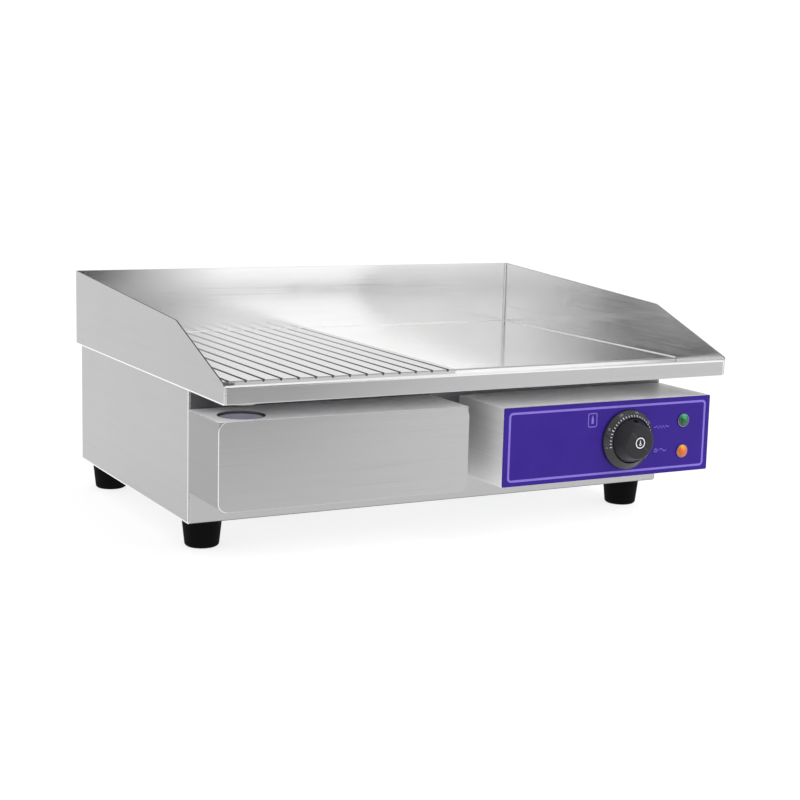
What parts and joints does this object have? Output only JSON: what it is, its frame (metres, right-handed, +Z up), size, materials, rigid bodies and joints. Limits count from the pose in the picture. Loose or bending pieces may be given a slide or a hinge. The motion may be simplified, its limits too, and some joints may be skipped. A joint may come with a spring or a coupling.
{
  "type": "electric griddle",
  "caption": "Countertop electric griddle: half-grooved steel plate with splash guards and a front gutter, slide-out grease drawer, control box with a turning thermostat knob.",
  "frame": {"origin": "on the surface that the feet stand on, under the middle of the bounding box", "axes": "+X to the right as seen from the front, +Y towards the rear, +Z up; the control panel faces -Y"},
  "size_m": [0.55, 0.457, 0.238],
  "materials": {
    "stainless": "brushed stainless sheet, fine horizontal grain",
    "plate_steel": "ground and polished cooking surface",
    "zinc": "bright zinc plating",
    "foot_rubber": "matt black rubber",
    "element_sheath": "dark heat-tinted sheath",
    "ceramic_fibre": "soft white fibre",
    "panel_paint": "satin purple print with a paler line",
    "black_plastic": "moulded black plastic",
    "knob_plastic": "moulded charcoal plastic",
    "green_lens": "clear green lens",
    "orange_lens": "clear orange lens",
    "copper": "drawn copper",
    "white_ceramic": "glazed ceramic",
    "wire_sleeve": "silicone wire sleeve"
  },
  "bodies": {
    "griddle": {"griddle_plate": "plate_steel", "splash_guard_left": "stainless", "splash_guard_right": "stainless", "splash_guard_rear": "stainless", "grease_gutter": "stainless", "drain_spout": "stainless", "housing_side_left": "stainless", "housing_side_right": "stainless", "housing_front": "stainless", "housing_rear": "stainless", "rear_screw_left": "zinc", "rear_screw_right": "zinc", "base_plate": "zinc", "foot_front_left": "foot_rubber", "foot_front_right": "foot_rubber", "foot_rear_left": "foot_rubber", "foot_rear_right": "foot_rubber", "foot_screw_front_left": "zinc", "foot_screw_front_right": "zinc", "foot_screw_rear_left": "zinc", "foot_screw_rear_right": "zinc", "plate_support_left": "zinc", "plate_support_right": "zinc", "heating_element_left": "element_sheath", "heating_element_centre": "element_sheath", "heating_element_right": "element_sheath", "element_clamp_front": "zinc", "element_clamp_rear": "zinc", "clamp_stud_front_left": "zinc", "clamp_stud_front_right": "zinc", "clamp_stud_rear_left": "zinc", "clamp_stud_rear_right": "zinc", "insulation_blanket": "ceramic_fibre", "heat_shield": "zinc", "drawer_runner_left": "zinc", "drawer_runner_right": "zinc", "control_box": "stainless", "control_panel": "panel_paint", "dial_ring": "knob_plastic", "thermostat_body": "black_plastic", "thermostat_screw_left": "zinc", "thermostat_screw_right": "zinc", "heating_lamp_body": "black_plastic", "heating_lamp_lens": "green_lens", "power_lamp_body": "black_plastic", "power_lamp_lens": "orange_lens", "thermostat_bulb": "copper", "bulb_bracket": "zinc", "thermostat_capillary": "copper", "cable_gland": "black_plastic", "gland_locknut": "black_plastic", "terminal_block": "white_ceramic", "supply_loom": "wire_sleeve", "element_loom": "wire_sleeve"},
    "drawer": {"drawer_front": "stainless", "drawer_box": "stainless", "grease_tray": "stainless"},
    "knob": {"thermostat_knob": "knob_plastic", "knob_cap": "black_plastic", "thermostat_shaft": "zinc"}
  },
  "joints": [
    {"name": "drawer_slide", "type": "slide", "parent": "griddle", "child": "drawer", "axis": [0, -1, 0], "range_m": [0, 0.19]},
    {"name": "thermostat_turn", "type": "hinge", "parent": "griddle", "child": "knob", "pos_m": [0.1665, -0.2058, 0.096], "axis": [0, 1, 0], "range_deg": [-103, 131]}
  ]
}
